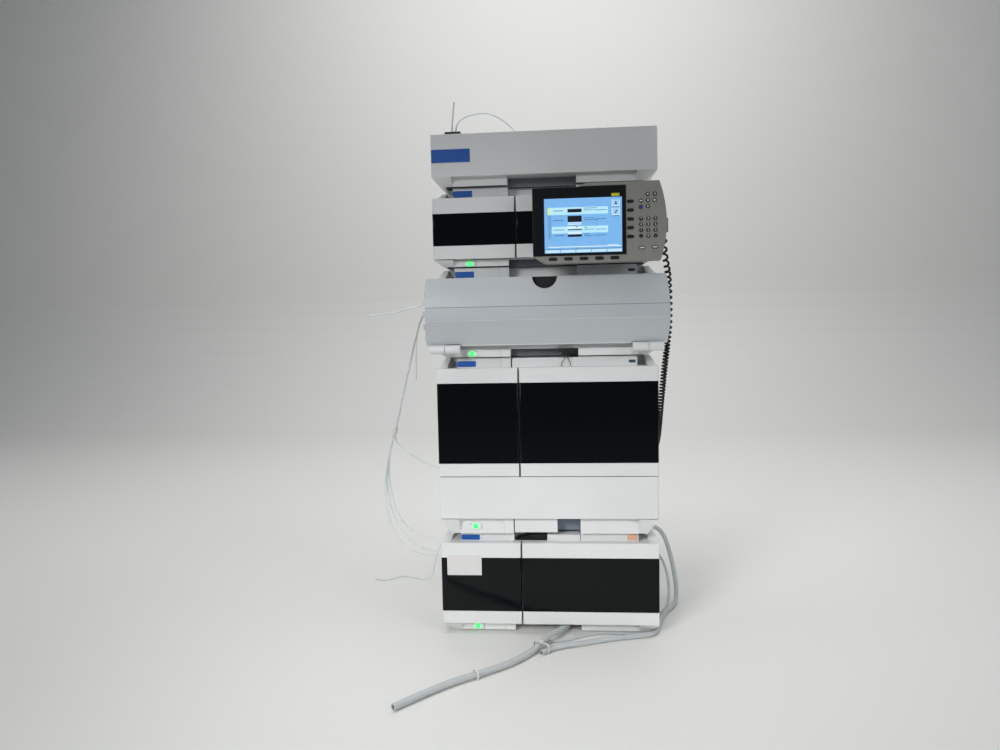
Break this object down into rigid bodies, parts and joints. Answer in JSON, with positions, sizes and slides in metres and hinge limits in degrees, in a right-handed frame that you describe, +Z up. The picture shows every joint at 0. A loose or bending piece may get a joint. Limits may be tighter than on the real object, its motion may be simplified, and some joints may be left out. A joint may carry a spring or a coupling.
{
  "type": "hplc system",
  "caption": "Stack of laboratory chromatography modules with hinged smoked doors, a bowed drop-down column door, a hanging controller, a solvent tray and loose tubing.",
  "frame": {"origin": "on the surface the stack stands on, under the middle of its box without cords", "axes": "+Z up, -Y towards the doors at the front, +X to the right seen from the front"},
  "size_m": [0.6567, 0.7786, 0.9652],
  "materials": {
    "white_plastic": "fine satin moulding",
    "grey_plastic": "fine satin moulding",
    "smoked_plastic": "smoked acrylic",
    "panel_metal": "plain sheet",
    "black_plastic": "satin",
    "black_rubber": "matt",
    "steel": "machined",
    "green_lens": "light pipe",
    "controller_plastic": "fine satin moulding",
    "bezel_plastic": "gloss",
    "screen_glass": "lit display",
    "key_rubber": "silicone",
    "clear_tube": "translucent",
    "hose_plastic": "translucent",
    "cord_plastic": "coiled cord"
  },
  "bodies": {
    "stack": {"pump_base": "white_plastic", "pump_cover": "white_plastic", "sampler_base": "white_plastic", "sampler_cover": "white_plastic", "sampler_front_panel": "white_plastic", "column_base": "white_plastic", "column_cover": "white_plastic", "detector_base": "white_plastic", "detector_cover": "white_plastic", "detector_right_door": "white_plastic", "solvent_tray": "white_plastic", "column_hinges": "white_plastic", "leak_funnels": "white_plastic", "solvent_valve": "grey_plastic", "detector_right_window": "smoked_plastic", "pump_heads": "steel", "injection_valve": "steel", "columns": "steel", "hinge_pins": "steel", "capillaries": "steel", "flow_cell": "steel", "sample_drawer": "black_plastic", "tubing_clip": "black_plastic", "rear_sockets": "black_plastic", "controller_plug": "black_plastic", "cable_ties": "black_plastic", "rubber_feet": "black_rubber", "rear_panels": "panel_metal", "controller_shell": "controller_plastic", "controller_bezel": "bezel_plastic", "controller_screen": "screen_glass", "controller_keypad": "key_rubber", "solvent_line_a": "clear_tube", "solvent_line_b": "clear_tube", "solvent_line_c": "clear_tube", "sampler_line": "clear_tube", "loose_line": "clear_tube", "hanging_line": "clear_tube", "floor_line": "clear_tube", "tray_line": "clear_tube", "drain_hose_a": "hose_plastic", "drain_hose_b": "hose_plastic", "drain_hose_thin": "hose_plastic", "controller_cord": "cord_plastic"},
    "pump_left_door": {"pump_left_door": "white_plastic", "pump_left_window": "smoked_plastic"},
    "pump_right_door": {"pump_right_door": "white_plastic", "pump_right_window": "smoked_plastic"},
    "sampler_left_door": {"sampler_left_door": "white_plastic", "sampler_left_window": "smoked_plastic"},
    "sampler_right_door": {"sampler_right_door": "white_plastic", "sampler_right_window": "smoked_plastic"},
    "detector_left_door": {"detector_left_door": "white_plastic", "detector_left_window": "smoked_plastic"},
    "column_door": {"column_door": "grey_plastic"},
    "pump_power_button": {"pump_power_button": "green_lens"},
    "sampler_power_button": {"sampler_power_button": "green_lens"},
    "column_power_button": {"column_power_button": "green_lens"},
    "detector_power_button": {"detector_power_button": "green_lens"},
    "purge_valve": {"purge_valve": "black_plastic"}
  },
  "joints": [
    {"name": "pump_left_door_hinge", "type": "hinge", "parent": "stack", "child": "pump_left_door", "pos_m": [-0.19, -0.20325, 0.0955], "axis": [0, 0, -1], "range_deg": [0, 100]},
    {"name": "pump_right_door_hinge", "type": "hinge", "parent": "stack", "child": "pump_right_door", "pos_m": [0.19, -0.20325, 0.0955], "axis": [0, 0, 1], "range_deg": [0, 100]},
    {"name": "sampler_left_door_hinge", "type": "hinge", "parent": "stack", "child": "sampler_left_door", "pos_m": [-0.19, -0.20325, 0.3928], "axis": [0, 0, -1], "range_deg": [0, 100]},
    {"name": "sampler_right_door_hinge", "type": "hinge", "parent": "stack", "child": "sampler_right_door", "pos_m": [0.19, -0.20325, 0.3928], "axis": [0, 0, 1], "range_deg": [0, 100]},
    {"name": "detector_left_door_hinge", "type": "hinge", "parent": "stack", "child": "detector_left_door", "pos_m": [-0.19, -0.20325, 0.7405], "axis": [0, 0, -1], "range_deg": [0, 100]},
    {"name": "column_door_hinge", "type": "hinge", "parent": "stack", "child": "column_door", "pos_m": [0, -0.21925, 0.526], "axis": [1, 0, 0], "range_deg": [0, 95]},
    {"name": "pump_power_button_press", "type": "slide", "parent": "stack", "child": "pump_power_button", "axis": [0, 1, 0], "range_m": [0, 0.002], "stiffness_N_per_m": 400},
    {"name": "sampler_power_button_press", "type": "slide", "parent": "stack", "child": "sampler_power_button", "axis": [0, 1, 0], "range_m": [0, 0.002], "stiffness_N_per_m": 400},
    {"name": "column_power_button_press", "type": "slide", "parent": "stack", "child": "column_power_button", "axis": [0, 1, 0], "range_m": [0, 0.002], "stiffness_N_per_m": 400},
    {"name": "detector_power_button_press", "type": "slide", "parent": "stack", "child": "detector_power_button", "axis": [0, 1, 0], "range_m": [0, 0.002], "stiffness_N_per_m": 400},
    {"name": "purge_valve_turn", "type": "hinge", "parent": "stack", "child": "purge_valve", "pos_m": [0.155, -0.13, 0.09645], "axis": [0, 1, 0], "range_deg": [0, 180]}
  ]
}
